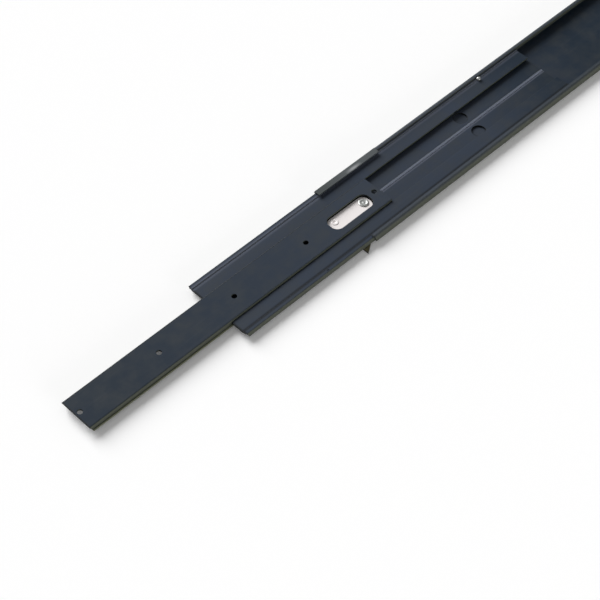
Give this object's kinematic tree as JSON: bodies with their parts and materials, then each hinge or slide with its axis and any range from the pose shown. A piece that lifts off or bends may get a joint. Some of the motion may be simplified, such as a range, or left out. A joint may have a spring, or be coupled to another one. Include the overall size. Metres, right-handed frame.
{
  "type": "friction slide",
  "caption": "Flat three-section telescoping slide with solid dark channels, a spring lock in a long window, a stop plate and a row of screw holes.",
  "frame": {"origin": "on the flat cabinet face, on the centre line, level with the cabinet channel's mouth", "axes": "+X the way the slide pulls out, +Y its near side in the picture, +Z away from the cabinet wall"},
  "size_m": [0.4379, 0.0476, 0.0061],
  "materials": {
    "coated_steel": "satin dark blue-grey dry-film coating",
    "satin_steel": "satin grey, uncoated",
    "bright_steel": "bright zinc plate",
    "spring_steel": "bright satin",
    "dark_plastic": "matt",
    "black_rubber": "matt"
  },
  "bodies": {
    "cabinet_side": {"outer_channel": "coated_steel", "stop_plate": "satin_steel", "rear_bumper": "black_rubber", "bumper_rivet": "bright_steel"},
    "middle": {"middle_channel": "coated_steel", "stop_pin": "bright_steel", "inner_guide_near": "dark_plastic", "inner_guide_far": "dark_plastic", "lock_spacer": "bright_steel", "lock_rivet": "bright_steel"},
    "lock": {"lock_spring": "spring_steel", "lock_button": "spring_steel"},
    "chassis_side": {"inner_channel": "coated_steel"}
  },
  "joints": [
    {"name": "middle_slide", "type": "slide", "parent": "cabinet_side", "child": "middle", "axis": [1, 0, 0], "range_m": [-0.0906, 0.0797]},
    {"name": "chassis_slide", "type": "slide", "parent": "middle", "child": "chassis_side", "axis": [1, 0, 0], "range_m": [-0.0927, 0]},
    {"name": "lock_flex", "type": "hinge", "parent": "middle", "child": "lock", "pos_m": [-0.0143, 0.0007, 0.00343], "axis": [0, 1, 0], "range_deg": [0, 2.4], "stiffness_Nm_per_rad": 0.3}
  ]
}
